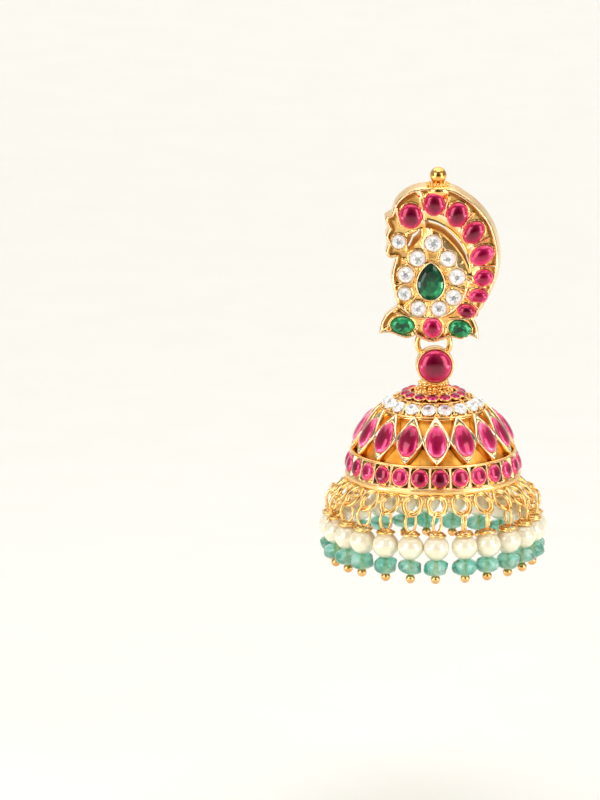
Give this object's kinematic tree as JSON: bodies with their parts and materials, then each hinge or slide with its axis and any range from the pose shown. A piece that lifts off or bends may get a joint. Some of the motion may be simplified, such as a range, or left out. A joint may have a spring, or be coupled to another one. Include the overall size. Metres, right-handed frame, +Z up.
{
  "type": "jhumka earring",
  "caption": "Drop earring: a stone-set bird-shaped stud with a crescent, a link ring, and a bell-shaped dome fringed with pearl and glass bead drops.",
  "frame": {"origin": "on the ear post's axis, in the plane of the stud's flat back, where the post enters the ear lobe", "axes": "+Z up along the hanging earring, +Y out of the stud's back along the ear post, so the jewelled front faces -Y"},
  "size_m": [0.0351, 0.035, 0.0616],
  "materials": {
    "gold": "polished yellow gold plate, burnished in the recesses",
    "ruby": "foil-backed magenta red cut glass",
    "emerald": "foil-backed deep green cut glass",
    "white_stone": "clear faceted stone over pale foil",
    "pearl": "pearl lacquer with a soft sheen",
    "bead": "polished pale sea-green glass bead"
  },
  "bodies": {
    "stud": {"stud_body": "gold", "ear_post": "gold", "crescent_ruby_1": "ruby", "crescent_ruby_2": "ruby", "crescent_ruby_3": "ruby", "crescent_ruby_4": "ruby", "crescent_ruby_5": "ruby", "crescent_ruby_6": "ruby", "crescent_ruby_7": "ruby", "crescent_ruby_8": "ruby", "pear_emerald": "emerald", "leaf_emerald_left": "emerald", "leaf_emerald_right": "emerald", "base_ruby": "ruby"},
    "link": {"link_ring": "gold"},
    "drop": {"dome": "gold", "connector_ruby": "ruby", "drop_01": "pearl", "drop_02": "pearl", "drop_03": "pearl", "drop_04": "pearl", "drop_05": "pearl", "drop_06": "pearl", "drop_07": "pearl", "drop_08": "pearl", "drop_09": "pearl", "drop_10": "pearl", "drop_11": "pearl", "drop_12": "pearl", "drop_13": "pearl", "drop_14": "pearl", "drop_15": "pearl", "drop_16": "pearl", "drop_17": "pearl", "drop_18": "pearl", "drop_19": "pearl", "drop_20": "pearl", "drop_21": "pearl", "drop_22": "pearl", "drop_23": "pearl", "drop_24": "pearl"}
  },
  "joints": [
    {"name": "link_swing", "type": "hinge", "parent": "stud", "child": "link", "pos_m": [0.00045, -0.0007, -0.009], "axis": [1, 0, 0], "range_deg": [-10, 30]},
    {"name": "drop_swing", "type": "hinge", "parent": "link", "child": "drop", "pos_m": [0.00045, -0.0007, -0.01395], "axis": [1, 0, 0], "range_deg": [-10, 30]}
  ]
}
